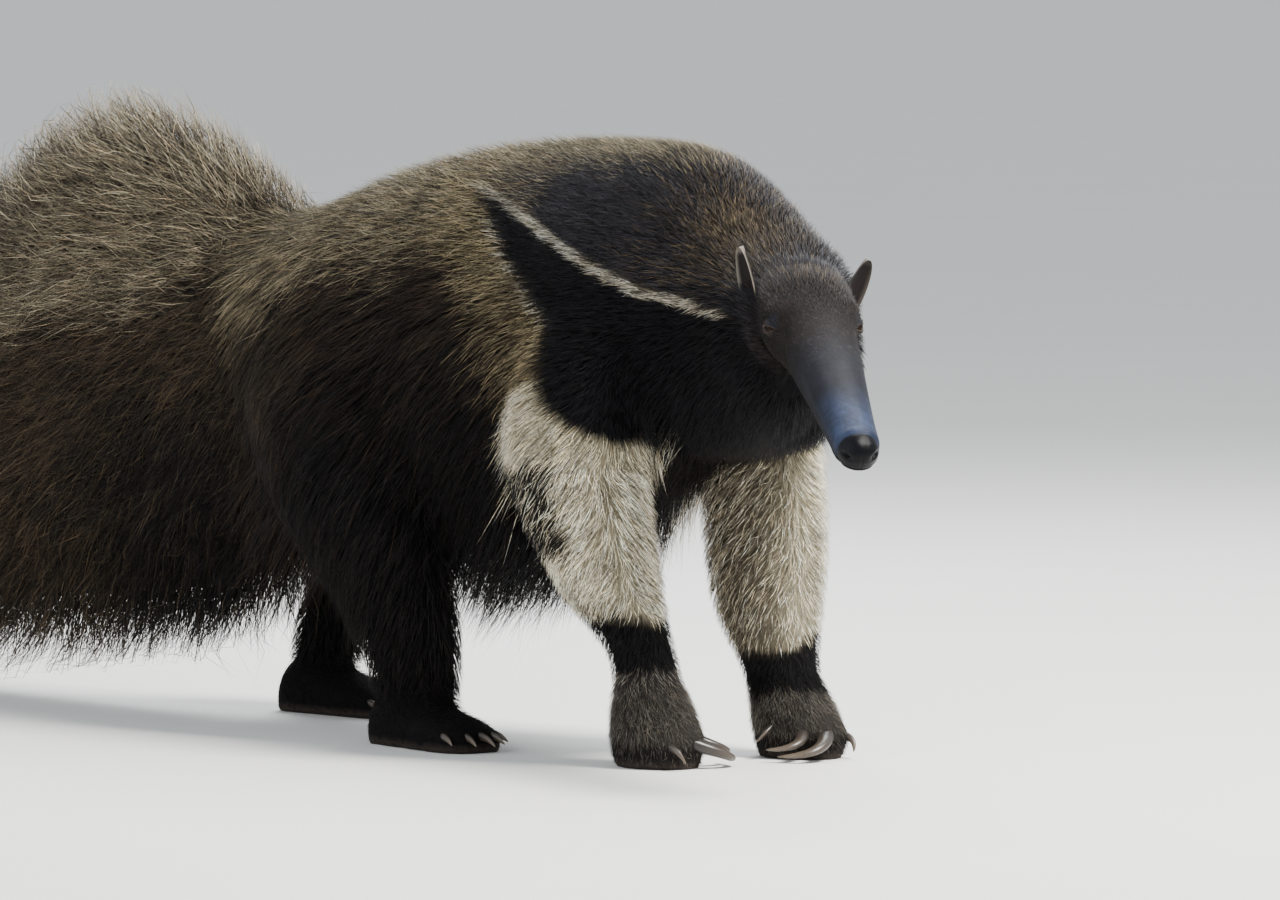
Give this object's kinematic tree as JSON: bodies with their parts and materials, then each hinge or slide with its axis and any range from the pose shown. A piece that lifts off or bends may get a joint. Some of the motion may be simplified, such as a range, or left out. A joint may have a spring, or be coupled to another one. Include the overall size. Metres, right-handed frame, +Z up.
{
  "type": "giant anteater, still life-size model",
  "caption": "Life-size still model of a giant anteater in mid stride, head low and turned to its right, with a shaggy coat, a banded shoulder and a tall plumed tail",
  "frame": {"origin": "on the floor, under the middle of the animal's box with its tail; the soles rest on z = 0", "axes": "+X forward along the spine, +Y to the animal's left, +Z up; the head is turned to its right, towards -Y"},
  "size_m": [1.784, 0.4144, 0.661],
  "materials": {
    "coat_dark": "matte",
    "coat_band": "matte",
    "coat_black": "matte",
    "coat_cream": "matte",
    "coat_hand": "matte",
    "coat_tail": "matte",
    "face": "satin",
    "ear": "matte",
    "wet_nose": "gloss",
    "eye": "gloss",
    "claw_horn": "satin"
  },
  "bodies": {
    "root": {"chest": "coat_band", "ear_L": "ear", "ear_R": "ear", "eye_L": "eye", "eye_R": "eye", "flank": "coat_dark", "foreclaw_1_L": "claw_horn", "foreclaw_1_R": "claw_horn", "foreclaw_2_L": "claw_horn", "foreclaw_2_R": "claw_horn", "foreclaw_3_L": "claw_horn", "foreclaw_3_R": "claw_horn", "foreclaw_4_L": "claw_horn", "foreclaw_4_R": "claw_horn", "foreleg_lower_L": "coat_cream", "foreleg_lower_R": "coat_cream", "foreleg_upper_L": "coat_cream", "foreleg_upper_R": "coat_cream", "hand_L": "coat_hand", "hand_R": "coat_hand", "head": "face", "hindclaw_1_L": "claw_horn", "hindclaw_1_R": "claw_horn", "hindclaw_2_L": "claw_horn", "hindclaw_2_R": "claw_horn", "hindclaw_3_L": "claw_horn", "hindclaw_3_R": "claw_horn", "hindclaw_4_L": "claw_horn", "hindclaw_4_R": "claw_horn", "hindclaw_5_L": "claw_horn", "hindclaw_5_R": "claw_horn", "hindfoot_L": "coat_black", "hindfoot_R": "coat_black", "hindleg_lower_L": "coat_black", "hindleg_lower_R": "coat_black", "neck": "coat_dark", "nose": "wet_nose", "rump": "coat_dark", "snout": "face", "tail_base": "coat_tail", "tail_middle": "coat_tail", "tail_rear": "coat_tail", "tail_tip": "coat_tail", "thigh_L": "coat_dark", "thigh_R": "coat_dark"}
  },
  "joints": []
}
